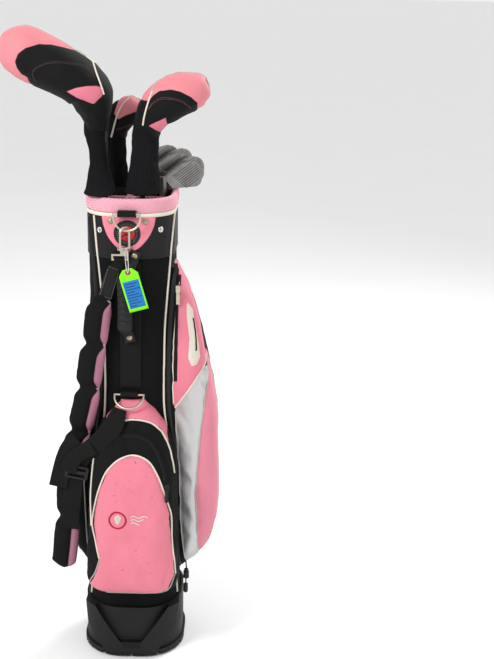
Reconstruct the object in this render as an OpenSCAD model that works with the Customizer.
// Carry golf bag with three covered woods and five irons.
// Millimetres, +Z up, the ball pocket faces -Y, origin at the centre of the base's resting face.

/* [Bag] */
// Height of the collar pad's top edge above the floor
bag_h = 896; // [890:1:900]
// Width of the bag's body at the collar
top_w = 152; // [150:1:154]
// Front-to-back depth of the bag's body at the collar
top_d = 180; // [178:1:182]
// Width of the bag's body where it enters the base
low_w = 176; // [172:1:178]
// Front-to-back depth of the bag's body where it enters the base
low_d = 184; // [182:1:184]
// Thickness of the body's fabric and stiffener
wall = 2.5; // [2:0.5:3]

/* [Base] */
// Width of the moulded base cup
cup_w = 186; // [184:1:190]
// Depth of the moulded base cup
cup_d = 192; // [190:1:194]
// Height of the base cup's rim
cup_h = 106; // [100:1:112]

/* [Hardware] */
// Radius of the D-rings' wire
ring_wire = 2; // [1.6:0.1:2.2]
// Width of the carry webbing
webbing_w = 38; // [34:1:40]
// Running clearance round every pin that turns
running_gap = 0.08; // [0.04:0.01:0.1]

/* [Clubs] */
// Radius of a grip at its butt end
grip_r = 11.6; // [11.3:0.1:11.9]
// Radius of an iron's steel shaft
shaft_r = 4.7; // [4.4:0.1:4.9]
// Height of the lowest iron's sole above the floor
iron_low_z = 917; // [917:1:920]
// Step in height from one iron to the next
iron_step = 5; // [4:1:6]

/* [Retainer cord] */
// Diameter of the retainer cord
cord_d = 2.6; // [2.2:0.1:3]

/* [Hidden] */
$fn = 48;
soft_fn = 28;
eps = 0.01;

iron_count = 5;

// Colours
ink = [0.06, 0.06, 0.065];
pink = [0.93, 0.52, 0.60];
mesh_pink = [0.93, 0.68, 0.76];
steel = [0.75, 0.75, 0.76];
brass_grey = [0.62, 0.60, 0.55];
rubber_black = [0.10, 0.10, 0.10];
lime = [0.60, 0.95, 0.15];

// Body and collar
top_r = 60;
low_r = 70;
cup_r = 74;
cup_wall = 4;
sole_t = 3;
cup_floor_z = 13;
floor_pad_t = 3;
club_floor_z = cup_floor_z + floor_pad_t + 0.2;
shell_z = cup_floor_z + 0.2;
straight_z = 786;
frame_z = 846;
pad_top_t = 8;
frame_top_z = bag_h - pad_top_t;
frame_band = 6;
cuff_z = 790;
cuff_t = 2.2;
pad_z = 871;
pad_t = 3;
rod_xy = [54.6, 62];
rod_r = 3;
divider_xy = [-10, -8];
divider_t = 8;

// Front hardware
front_y = -top_d / 2;
shield_t = 1.6;
shield_top_z = 866;
shield_tip_z = 801;
upper_bar = [0, -106, 872];
upper_ring_r = 23;
upper_ring_leg = 6;
lower_bar = [1, -99, 541];
lower_ring_r = 26;
lower_ring_leg = 3;
lower_ring_tilt = 50;
tab_w = 32;
tab_r = 5;
dome_r = 5;
spine_x = 3;
spine_low_z = 551;
spine_t = 1.8;
front_slope = atan2((low_d - top_d) / 2, straight_z - shell_z);

// Snap hook: its loop stands at an angle to the D-ring that it hangs in
hook_x = -4;
hook_turn = 225;
hook_wire = 2.2;
hook_r = 10;
hook_arc_z = 839.4;
hook_low_z = 812;
gate_wire = 1.8;
eye_w = 29;
eye_left = 23;
eye_z = 795;
eye_bar_r = 2;
strap_loop_w = 20;
strap_web_w = 30;

// Handle: centre line of the grip between its two riveted tongues
handle_top = [12, -93.8, 797];
handle_low = [2, -93.8, 648];
grip_top = [-4, -114, 752];
grip_low = [-4, -114, 674];
handle_r = 13;

// Shoulder strap: centres of the pad's sections, from the top down
pad_stations = [
    [-47, -102, 716], [-56, -103, 650], [-66, -103, 590], [-74, -103, 530],
    [-88, -104, 470], [-104, -104, 400], [-112, -104, 300], [-122, -104, 208]
];
pad_half_w = 21;
pad_half_t = 8;
// Centre line of the lower webbing, from the lower D-ring to the pad's end
web_path = [
    [-6, -125, 510], [-27, -135, 488], [-50, -138, 464], [-72, -127, 440],
    [-90, -118.5, 416], [-104, -114.8, 340], [-110, -114.4, 280]
];
web_t = 1.8;
slider_t = 3;
slider_place = 0.26;

// Pockets
ball_x = 7;
// Cross-sections of the ball pocket: height, half width, corner radius, front face's distance from the axis
ball_sections = [
    [528, 22, 14, 100], [500, 46, 34, 120], [462, 66, 48, 140], [400, 78, 52, 159],
    [300, 82, 50, 167], [205, 84, 44, 165], [172, 80, 40, 152], [158, 66, 34, 128]
];
// Cross-sections of a side pocket: height, reach from the axis, front edge, back edge, corner radius
side_sections = [
    [768, 82, -46, 4, 12], [692, 112, -66, 36, 24], [600, 134, -76, 56, 34],
    [457, 158, -78, 70, 44], [240, 148, -78, 70, 40], [196, 124, -66, 58, 34], [176, 100, -52, 44, 20]
];
// The slim left pocket, which the shoulder strap hangs over, in the same terms
slim_sections = [
    [612, 80, -40, 10, 12], [560, 92, -54, 40, 22], [470, 104, -64, 58, 32], [400, 115, -68, 64, 38],
    [260, 117, -68, 64, 38], [204, 108, -60, 52, 32], [184, 96, -48, 40, 20]
];

// Top of the right pocket's zip, just clear of the fabric
zip_top = [86, -66.5, 738];
// The ball pocket's zip runs on an arc round its rounded top
ball_zip_centre = [ball_x, 0, 384];
ball_zip_r = 66;
ball_zip_y = -150;

// Retainer cord: it leaves the right pocket's lower edge and hangs
cord_route = [
    [102.4, -52, 185], [102.5, -52, 182], [102.7, -52, 179], [102.9, -52, 176], [103.1, -52, 173],
    [103.2, -52, 170], [103.2, -52, 166], [103.2, -52, 162], [103.1, -52, 159], [102.9, -52, 156],
    [102.8, -52, 152], [102.7, -52, 148], [102.5, -52, 144], [102.3, -52, 140], [102.2, -52, 136]
];
cord_sides = 8;
lock_z = 150;
lock_h = 18;
lock_r = 5.5;
end_h = 19;
end_r = 4.4;

// Hang tag: its string is tied to the snap hook
tag_turn = 16;
tag_top = [4, -131.5, 776];
tag_knot = [hook_x + 2.6, upper_bar[1] - 2.8, 813.5];
tag_t = 1;
string_r = 0.7;
string_loop_r = 3.4;

// Clubs: where each shaft stands, and how far apart the irons' blades are
driver_xy = [-45, -40];
fairway_xy = [20, -36];
hybrid_xy = [-34, 28];
iron_line_start = [60, 15];
iron_line_dir = [-0.62, 0.785];
iron_toe_dir = [0.785, 0.62];
iron_pitch = 19;
iron_stagger = 9;
blade_tilt = 6;
blade_rise = 28;
grip_len = 262;
hosel_len = 52;
hosel_r = 6.6;
cover_t = 4;
head_gap = 1.5;

// Hood of each wood's cover as spheres: x, z, radius, front y, back y
driver_hood = [[-175, 1137, 43, -82, -46], [-112, 1108, 42, -82, -46], [-62, 1072, 34, -72, -38]];
fairway_hood = [[102, 1076, 33, -60, -43], [66, 1062, 36, -56, -46], [38, 1036, 30, -48, -40]];
hybrid_hood = [[-10, 1034, 25, 27, 27], [-32, 1014, 25, 27, 27]];

function iron_xy(i) = iron_line_start + iron_pitch * i * iron_line_dir
    + (i % 2 == 0 ? -1 : 1) * iron_stagger * iron_toe_dir;
function iron_z(i) = iron_low_z + iron_step * i;
function dist(a, b) = norm(b - a);

// ---------- shared shapes ----------

// Rectangle with round corners, made of squares and circles
module round_rect(w, d, r) {
    square([w - 2 * r, d], center = true);
    square([w, d - 2 * r], center = true);
    for (sx = [-1, 1], sy = [-1, 1])
        translate([sx * (w / 2 - r), sy * (d / 2 - r)]) circle(r);
}

// Upright band between two outlines that both lie outside the collar's outline
module collar_ring(z0, z1, inner, outer) {
    translate([0, 0, z0]) linear_extrude(z1 - z0) difference() {
        round_rect(top_w + 2 * outer, top_d + 2 * outer, top_r + outer);
        round_rect(top_w + 2 * inner, top_d + 2 * inner, top_r + inner);
    }
}

// The body's outside grown by g: tapered up to the cuff, then straight
module body_solid(g, z0, z1) {
    translate([0, 0, z0])
        linear_extrude(straight_z - z0, slices = 1,
                scale = [(top_w + 2 * g) / (low_w + 2 * g), (top_d + 2 * g) / (low_d + 2 * g)])
            round_rect(low_w + 2 * g, low_d + 2 * g, low_r + g);
    translate([0, 0, straight_z]) linear_extrude(z1 - straight_z)
        round_rect(top_w + 2 * g, top_d + 2 * g, top_r + g);
}

// Turns children from +Z to the direction from a to b and puts them at a
module along(a, b) {
    v = b - a;
    translate(a)
        rotate([0, acos(v[2] / norm(v)), atan2(v[1], v[0])]) children();
}

// Round bar from a to b
module bar(a, b, r) {
    along(a, b) cylinder(h = dist(a, b), r = r);
}

// Half ring of round wire that hangs below a straight bar, with its two legs
module d_ring(r, leg, wire) {
    rotate([90, 0, 0]) translate([0, -leg, 0]) rotate([0, 0, 180])
        rotate_extrude(angle = 180) translate([r, 0]) circle(wire, $fn = 24);
    for (s = [-1, 1]) {
        translate([s * r, 0, -leg]) cylinder(h = leg, r = wire, $fn = 24);
        translate([s * r, 0, 0]) sphere(wire, $fn = 24);
    }
    translate([-r, 0, 0]) rotate([0, 90, 0]) cylinder(h = 2 * r, r = wire, $fn = 24);
}

// Low dome on a short stem, pointing along -Y
module dome(x, y, z) {
    translate([x, y, z]) rotate([90, 0, 0]) {
        cylinder(h = 1.2, r = dome_r);
        translate([0, 0, 1.2]) intersection() {
            translate([0, 0, -4.2]) sphere(6.5);
            cylinder(h = 4, r = dome_r);
        }
    }
}

// ---------- base ----------

module foot_pads(h) {
    cylinder(h = h, r = 30);
    for (i = [0:7])
        rotate([0, 0, i * 45 + 22.5]) translate([76, 0, 0]) cylinder(h = h, r = 11);
}

// V-shaped outline of the grab band, seen from the front
module band_outline() {
    difference() {
        polygon([[-90, cup_h - 2], [-86, 62], [-50, 14], [50, 14], [86, 62], [90, cup_h - 2]]);
        polygon([[-70, cup_h], [-20, 36], [20, 36], [72, cup_h]]);
    }
}

module cup_ring(inner, outer) {
    difference() {
        round_rect(cup_w + 2 * outer, cup_d + 2 * outer, cup_r + outer);
        round_rect(cup_w + 2 * inner, cup_d + 2 * inner, cup_r + inner);
    }
}

module grab_band() {
    band_t = 10;
    finger_gap = 6;
    difference() {
        intersection() {
            linear_extrude(cup_h) cup_ring(-eps, band_t);
            translate([0, -30, 0]) rotate([90, 0, 0]) linear_extrude(100) band_outline();
        }
        translate([-24, -cup_d / 2 - finger_gap, 18]) cube([48, finger_gap, 30]);
    }
}

module base_cup() color(ink) difference() {
    union() {
        translate([0, 0, sole_t]) linear_extrude(cup_h - sole_t) round_rect(cup_w, cup_d, cup_r);
        translate([0, 0, sole_t]) linear_extrude(11) cup_ring(-eps, 4);
        grab_band();
    }
    translate([0, 0, cup_floor_z]) linear_extrude(cup_h)
        round_rect(cup_w - 2 * cup_wall, cup_d - 2 * cup_wall, cup_r - cup_wall);
    foot_pads(6);
    for (i = [0:11])
        rotate([0, 0, i * 30]) translate([90, -3, 0]) cube([30, 6, 9]);
}

module base_feet() color(rubber_black) foot_pads(6);

module inner_floor() color([0.25, 0.25, 0.26])
    translate([0, 0, cup_floor_z]) linear_extrude(floor_pad_t) round_rect(low_w - 8, low_d - 8, low_r - 4);

// ---------- body and collar ----------

module body_shell() color(ink) difference() {
    body_solid(0, shell_z, frame_z);
    body_solid(-wall, shell_z - eps, frame_z + eps);
}

module stay_rods() color([0.55, 0.56, 0.58])
    for (sx = [-1, 1], sy = [-1, 1])
        translate([sx * rod_xy[0], sy * rod_xy[1], club_floor_z])
            cylinder(h = frame_z + 6 - club_floor_z, r = rod_r);

module collar_frame() color(ink) difference() {
    union() {
        collar_ring(frame_z, frame_top_z, -frame_band, 0);
        intersection() {
            translate([0, 0, frame_z]) linear_extrude(12) round_rect(top_w, top_d, top_r);
            for (sx = [-1, 1], sy = [-1, 1])
                translate([sx * rod_xy[0], sy * rod_xy[1], frame_z]) cylinder(h = 12, r = rod_r + 3.5);
        }
    }
    for (sx = [-1, 1], sy = [-1, 1])
        translate([sx * rod_xy[0], sy * rod_xy[1], frame_z - 1]) cylinder(h = 7, r = rod_r);
}

module divider() color(mesh_pink) translate([0, 0, frame_z + 14]) linear_extrude(frame_top_z - frame_z - 16)
    intersection() {
        round_rect(top_w - 2 * frame_band, top_d - 2 * frame_band, top_r - frame_band);
        union() {
            translate([0, divider_xy[1]]) square([top_w, divider_t], center = true);
            translate([divider_xy[0], 0]) square([divider_t, top_d], center = true);
        }
    }

module collar_pad() color(mesh_pink) {
    collar_ring(pad_z, frame_top_z, 0, pad_t);
    collar_ring(frame_top_z, bag_h, -frame_band, pad_t);
}

module top_cuff() color(ink) collar_ring(cuff_z, pad_z, 0, cuff_t);

// Shield that follows the cuff's curve, pointed at its lower end
module shield_patch() color(pink) intersection() {
    collar_ring(shield_tip_z - 5, shield_top_z, cuff_t, cuff_t + shield_t);
    translate([0, -40, 0]) rotate([90, 0, 0]) linear_extrude(80)
        polygon([[-46, shield_top_z], [-42, 846], [-30, 824], [-12, 806], [1, shield_tip_z],
            [14, 806], [32, 824], [44, 846], [48, shield_top_z]]);
}

module dome_rivets() color(brass_grey) {
    for (x = [-30, 31]) {
        turn = asin((abs(x) - (top_w / 2 - top_r)) / (top_r + cuff_t + shield_t));
        corner = [sign(x) * (top_w / 2 - top_r), -(top_d / 2 - top_r), 0];
        translate(corner) rotate([0, 0, sign(x) * turn])
            dome(0, -(top_r + cuff_t + shield_t), 857);
    }
    dome(-1, front_y - cuff_t - shield_t, 806);
    dome(handle_top[0], handle_top[1] - 3.4, handle_top[2]);
    dome(handle_low[0], handle_low[1] - 3.4, handle_low[2]);
}

// Folded tabs that hold the straight bars of the two D-rings
module ring_tab(centre, back_y) {
    difference() {
        union() {
            translate(centre - [tab_w / 2, 0, 0]) rotate([0, 90, 0]) cylinder(h = tab_w, r = tab_r);
            translate([centre[0] - tab_w / 2, centre[1], centre[2] - tab_r])
                cube([tab_w, back_y - centre[1], 2 * tab_r]);
        }
        translate(centre - [tab_w, 0, 0]) rotate([0, 90, 0])
            cylinder(h = 2 * tab_w, r = ring_wire + running_gap);
    }
}

module ring_tabs() color(ink) {
    difference() {
        ring_tab(upper_bar, front_y - pad_t);
        translate([0, 0, cuff_z]) linear_extrude(200)
            round_rect(top_w + 2 * pad_t, top_d + 2 * pad_t, top_r + pad_t);
    }
    difference() {
        ring_tab(lower_bar, front_y);
        body_solid(0, shell_z, frame_z);
    }
}

module upper_d_ring() color(steel) translate(upper_bar) d_ring(upper_ring_r, upper_ring_leg, ring_wire);

module lower_d_ring() color(steel) translate(lower_bar) rotate([-lower_ring_tilt, 0, 0])
    d_ring(lower_ring_r, lower_ring_leg, ring_wire);

// ---------- snap hook ----------

module hook_frame() {
    translate([hook_x, upper_bar[1], 0]) rotate([0, 0, hook_turn]) children();
}

module snap_hook() color(steel) hook_frame() {
    translate([0, 0, hook_arc_z]) rotate([90, 0, 0])
        rotate_extrude(angle = 180) translate([hook_r, 0]) circle(hook_wire, $fn = 24);
    bar([-hook_r, 0, hook_low_z], [-hook_r, 0, hook_arc_z], hook_wire);
    translate([-hook_r, 0, hook_low_z]) sphere(hook_wire, $fn = 24);
    bar([-hook_r, 0, hook_low_z], [hook_r - 4, 0, hook_low_z], hook_wire);
    difference() {
        union() {
            translate([hook_r, 0, hook_low_z]) rotate([90, 0, 0]) cylinder(h = 7, r = 3.4, center = true);
            translate([hook_r - 6, -3.5, hook_low_z - 1.8]) cube([6, 7, 3.6]);
        }
        translate([hook_r, 0, hook_low_z]) cube([12, 4.2, 9], center = true);
        translate([hook_r, 0, hook_low_z]) rotate([90, 0, 0])
            cylinder(h = 9, r = 1 + running_gap, center = true);
    }
    translate([0, 0, hook_low_z - 5]) cylinder(h = 5, r = 2);
    translate([0, 0, hook_low_z - 9]) cylinder(h = 4, r = 3.4);
}

module snap_gate() color(steel) hook_frame() {
    union() {
        translate([hook_r, 0, hook_low_z]) rotate([90, 0, 0]) cylinder(h = 3.8, r = 2.6, center = true);
        bar([hook_r, 0, hook_low_z + 2], [hook_r, 0, hook_arc_z - 0.4], gate_wire);
        translate([hook_r, 0, hook_low_z]) rotate([90, 0, 0]) cylinder(h = 6.6, r = 1, center = true);
    }
}

// Rectangular eye that turns on the hook's post and carries the webbing
module swivel_eye() color(steel) translate([hook_x, upper_bar[1], 0]) {
    difference() {
        translate([-7, -4.6, 801]) cube([14, 9.2, 8]);
        translate([0, 0, 790]) cylinder(h = 30, r = 2 + running_gap);
        translate([0, 0, 802.8]) cylinder(h = 4.3, r = 3.4 + running_gap);
    }
    translate([-eye_left, 0, 0]) {
        translate([0, -2, 799]) cube([eye_w, 4, 3]);
        for (x = [0, eye_w - 3]) translate([x, -2, eye_z - 4]) cube([3, 4, 9]);
        bar([0, 0, eye_z - 3], [eye_w, 0, eye_z - 3], eye_bar_r);
    }
}

// ---------- shoulder strap ----------

// Flat band between two points, its width level with the XZ plane
module slab(a, b, w, t, extra = 0) {
    v = b - a;
    turn = atan2(v[0], -v[2]);
    lean = asin(v[1] / norm(v));
    translate(a) rotate([0, -turn, 0]) rotate([lean, 0, 0])
        translate([-w / 2, -t / 2, -norm(v) - extra]) cube([w, t, norm(v) + 2 * extra]);
}

module strap_top_webbing() color(ink) {
    loop_at = [hook_x - eye_left + eye_w / 2, upper_bar[1], eye_z - 3];
    difference() {
        union() {
            translate(loop_at - [strap_loop_w / 2, 0, 0]) rotate([0, 90, 0])
                cylinder(h = strap_loop_w, r = 3.6);
            translate(loop_at - [strap_loop_w / 2, 3.5, 8]) cube([strap_loop_w, 1.4, 8]);
            slab([-13, -108, 786], [-25, -104, 770], strap_loop_w, 3);
        }
        translate(loop_at - [strap_loop_w, 0, 0]) rotate([0, 90, 0])
            cylinder(h = 2 * strap_loop_w, r = eye_bar_r + running_gap);
    }
    slab([-24, -103.6, 775], [-39, -101.4, 728], 22, 4);
}

module strap_pad() color(ink)
    for (i = [0:len(pad_stations) - 2]) hull()
        for (k = [0, 1]) translate(pad_stations[i + k])
            for (s = [-1, 1]) translate([s * (pad_half_w - pad_half_t), 0, 0]) sphere(pad_half_t, $fn = 16);

module strap_lower_webbing() color(ink)
    for (i = [0:len(web_path) - 2])
        slab(web_path[i], web_path[i + 1], strap_web_w, web_t, 3);

module strap_slider() color(ink) {
    a = web_path[4];
    b = web_path[5];
    v = b - a;
    turn = atan2(v[0], -v[2]);
    lean = asin(v[1] / norm(v));
    translate(a + slider_place * v) rotate([0, -turn, 0]) rotate([lean, 0, 0])
        translate([0, -web_t / 2 - 0.4, 0]) rotate([90, 0, 0]) linear_extrude(slider_t) difference() {
            round_rect(42, 26, 4);
            for (s = [-1, 1]) translate([0, s * 6.2]) square([32, 6], center = true);
        }
}

// ---------- handle ----------

module spine_webbing() color(ink)
    translate([spine_x - webbing_w / 2, front_y, straight_z]) rotate([-front_slope, 0, 0])
        translate([0, -spine_t - eps, spine_low_z - straight_z])
            cube([webbing_w, spine_t, straight_z - spine_low_z]);

// Half outline of the grip: round ends and a straight side of length h
function grip_profile(r, h) = concat(
    [[0, -r * 0.8]], [for (a = [-75:15:0]) [r * cos(a), r * 0.8 * sin(a)]],
    [for (a = [0:15:75]) [r * cos(a), h + r * 0.8 * sin(a)]], [[0, h + r * 0.8]]);

// Flat tongue that runs from under its rivet into the grip's end
module grip_tongue(rivet, up, grip_end) {
    translate([rivet[0] - 9, rivet[1] - 3.4, rivet[2] - 9]) cube([18, 3.4, 15]);
    hull() {
        translate([rivet[0] - 8.5, rivet[1] - 3.2, rivet[2] - up * 7 - 1]) cube([17, 3, 2]);
        translate([grip_end[0] - 9, grip_end[1] - 3, grip_end[2] - 1]) cube([18, 6, 2]);
    }
}

module handle_grip() color(rubber_black) {
    along(grip_low, grip_top) rotate_extrude() polygon(grip_profile(handle_r, dist(grip_low, grip_top)));
    grip_tongue(handle_top, 1, grip_top);
    grip_tongue(handle_low, -1, grip_low);
}

// ---------- pockets ----------

module ball_pocket() color(pink) difference() {
    hull() for (s = ball_sections)
        translate([ball_x, 0, s[0]]) linear_extrude(0.5)
            for (side = [-1, 1])
                translate([side * (s[1] - s[2]), -(s[3] - s[2])]) circle(s[2], $fn = soft_fn);
    body_solid(0, shell_z, frame_z);
    side_pocket_hull(side_sections);
}

module side_pocket_hull(sections) hull() for (s = sections)
    translate([0, 0, s[0]]) linear_extrude(0.5) {
        translate([s[1] - s[4], s[2] + s[4]]) circle(s[4], $fn = soft_fn);
        translate([s[1] - s[4], s[3] - s[4]]) circle(s[4], $fn = soft_fn);
        translate([60, (s[2] + s[3]) / 2]) square([2, (s[3] - s[2]) * 0.9], center = true);
    }

module side_pocket(sections) difference() {
    side_pocket_hull(sections);
    body_solid(0, shell_z, frame_z);
}

module right_pocket() color(pink) side_pocket(side_sections);

module left_pocket() color(pink) mirror([1, 0, 0]) side_pocket(slim_sections);

// Zip slider with its pull, lying on the right pocket's front edge
module right_zip_slider() color(steel) translate(zip_top) {
    translate([-4, -3, -12]) cube([8, 3, 12]);
    translate([-3, -4.4, -34]) cube([6, 1.4, 28]);
}

module ball_zip_slider() color(steel) translate(ball_zip_centre) translate([ball_zip_r, ball_zip_y, 0]) {
    translate([-4, -3, -6]) cube([8, 3, 12]);
    translate([-3, -4.4, -28]) cube([6, 1.4, 26]);
}

// ---------- retainer cord ----------

// Direction of the route at its point i
function heading(i) =
    let (n = len(cord_route) - 1, d = cord_route[min(i + 1, n)] - cord_route[max(i - 1, 0)]) d / norm(d);

// Ring of points round the route's point i; the route stays close to vertical
function cord_ring(i) =
    let (d = heading(i), u = cross(d, [0, 1, 0]) / norm(cross(d, [0, 1, 0])), v = cross(d, u))
    [for (k = [0:cord_sides - 1]) cord_route[i]
        + cord_d / 2 * (cos(k * 360 / cord_sides) * u + sin(k * 360 / cord_sides) * v)];

module retainer_cord() color(ink) {
    n = len(cord_route);
    m = cord_sides;
    polyhedron(
        points = [for (i = [0:n - 1]) each cord_ring(i)],
        faces = concat(
            [[for (k = [0:m - 1]) k]],
            [[for (k = [0:m - 1]) (n - 1) * m + m - 1 - k]],
            [for (i = [0:n - 2], k = [0:m - 1])
                [i * m + k, (i + 1) * m + k, (i + 1) * m + (k + 1) % m, i * m + (k + 1) % m]]));
}

module cord_lock() color(ink) translate([cord_route[7][0] - 0.2, -52, lock_z]) difference() {
    union() {
        cylinder(h = lock_h - 5, r = lock_r);
        translate([0, 0, lock_h - 5]) cylinder(h = 5, r = lock_r - 1.4);
    }
    translate([0, 0, -1]) cylinder(h = lock_h + 2, r = cord_d / 2 + 1);
}

module cord_end() color(ink) translate(cord_route[len(cord_route) - 1] - [0, 0, end_h]) {
    translate([0, 0, end_r]) cylinder(h = end_h - end_r, r = end_r);
    translate([0, 0, end_r]) sphere(end_r);
}

// ---------- hang tag ----------

module hang_tag() color(lime) {
    translate(tag_top) rotate([0, -tag_turn, 0]) rotate([90, 0, 0]) linear_extrude(tag_t) difference() {
        polygon([[-8, 6], [8, 6], [17, -4], [17, -70], [-17, -70], [-17, -4]]);
        circle(2.4);
    }
    middle = tag_top - [0, tag_t / 2, 0];
    bar(middle + [0, 0, string_loop_r], tag_knot, string_r);
    translate(middle) rotate([0, 90, 0])
        rotate_extrude() translate([string_loop_r, 0]) circle(string_r, $fn = 16);
}

// ---------- clubs ----------

module grip_sleeve(xy) color(rubber_black) translate([xy[0], xy[1], club_floor_z]) difference() {
    union() {
        cylinder(h = 6, r = grip_r);
        translate([0, 0, 6]) cylinder(h = grip_len - 6, r1 = grip_r - 0.4, r2 = shaft_r + 3);
    }
    translate([0, 0, 4]) cylinder(h = grip_len, r = shaft_r);
}

module club_shaft(xy, top_z) color(steel)
    translate([xy[0], xy[1], club_floor_z + 4]) cylinder(h = top_z - club_floor_z - 4, r = shaft_r);

// Blade outline: from heel to toe along X, from the sole at Y = 0 down to the topline
module blade_outline() {
    polygon([[0, -2], [14, 0], [46, 1], [60, -4], [62, -38], [50, -50], [28, -38], [4, -25]]);
    translate([56, -24]) circle(20);
    translate([54, -34]) circle(16);
}

module iron_head(i) {
    xy = iron_xy(i);
    turn = atan2(iron_toe_dir[1], iron_toe_dir[0]);
    color(steel) translate([xy[0], xy[1], iron_z(i)]) rotate([0, 0, turn]) {
        difference() {
            union() {
                translate([0, 0, -hosel_len]) cylinder(h = hosel_len + 2, r = hosel_r);
                rotate([0, -blade_rise, 0]) rotate([90 - blade_tilt, 0, 0]) {
                    difference() {
                        translate([0, 0, -1]) linear_extrude(5.5) blade_outline();
                        translate([0, 0, -2]) linear_extrude(3.2)
                            polygon([[22, -10], [60, -10], [60, -36], [50, -41], [22, -28]]);
                    }
                    translate([0, 0, -6]) linear_extrude(10)
                        polygon([[0, -2], [14, 0], [46, 1], [66, -6], [66, -11], [46, -8], [0, -9]]);
                }
            }
            translate([0, 0, -hosel_len - 1]) cylinder(h = hosel_len - 12, r = shaft_r);
        }
    }
}

// Hood of spheres; less shrinks every sphere
module hood(balls, less) {
    hull() for (b = balls, y = [b[3], b[4]])
        translate([b[0], y, b[1]]) sphere(b[2] - less, $fn = 22);
}

// A wood's cover: the hood round the head and the knit neck round the shaft
module cover(balls, xy, neck_top, neck_r, low_r) {
    neck_z = bag_h + 2.5;
    difference() {
        union() {
            hood(balls, 0);
            translate([xy[0], xy[1], neck_z]) cylinder(h = neck_top - neck_z, r1 = low_r, r2 = neck_r);
        }
        hood(balls, cover_t);
        translate([xy[0], xy[1], neck_z - 1])
            cylinder(h = neck_top - neck_z + 1.2, r1 = low_r - cover_t, r2 = neck_r - cover_t);
    }
}

module wood_head(balls, xy, hosel_z) {
    color(ink) difference() {
        union() {
            hood(balls, cover_t + head_gap);
            translate([xy[0], xy[1], hosel_z]) cylinder(h = 40, r = hosel_r);
        }
        translate([xy[0], xy[1], hosel_z - 1]) cylinder(h = 30, r = shaft_r);
    }
}

module driver_head() wood_head(driver_hood, driver_xy, 1024);
module driver_shaft() club_shaft(driver_xy, 1053);
module driver_grip() grip_sleeve(driver_xy);
module driver_cover() color(pink) cover(driver_hood, driver_xy, 1062, 21, 27);
module fairway_head() wood_head(fairway_hood, fairway_xy, 996);
module fairway_shaft() club_shaft(fairway_xy, 1025);
module fairway_grip() grip_sleeve(fairway_xy);
module fairway_cover() color(pink) cover(fairway_hood, fairway_xy, 1030, 22, 26);
module hybrid_head() wood_head(hybrid_hood, hybrid_xy, 972);
module hybrid_shaft() club_shaft(hybrid_xy, 1001);
module hybrid_grip() grip_sleeve(hybrid_xy);
module hybrid_cover() color(pink) cover(hybrid_hood, hybrid_xy, 1008, 19, 22);

module iron_shaft(i) club_shaft(iron_xy(i), iron_z(i) - 13);
module iron_grip(i) grip_sleeve(iron_xy(i));

// ---------- assembly ----------

base_cup();
base_feet();
inner_floor();
body_shell();
stay_rods();
collar_frame();
divider();
collar_pad();
top_cuff();
shield_patch();
dome_rivets();
ring_tabs();
upper_d_ring();
snap_hook();
snap_gate();
swivel_eye();
strap_top_webbing();
strap_pad();
strap_lower_webbing();
strap_slider();
lower_d_ring();
spine_webbing();
handle_grip();
ball_pocket();
ball_zip_slider();
right_pocket();
left_pocket();
right_zip_slider();
retainer_cord();
cord_lock();
cord_end();
hang_tag();
driver_head();
driver_shaft();
driver_grip();
driver_cover();
fairway_head();
fairway_shaft();
fairway_grip();
fairway_cover();
hybrid_head();
hybrid_shaft();
hybrid_grip();
hybrid_cover();
for (i = [0:iron_count - 1]) {
    iron_head(i);
    iron_shaft(i);
    iron_grip(i);
}
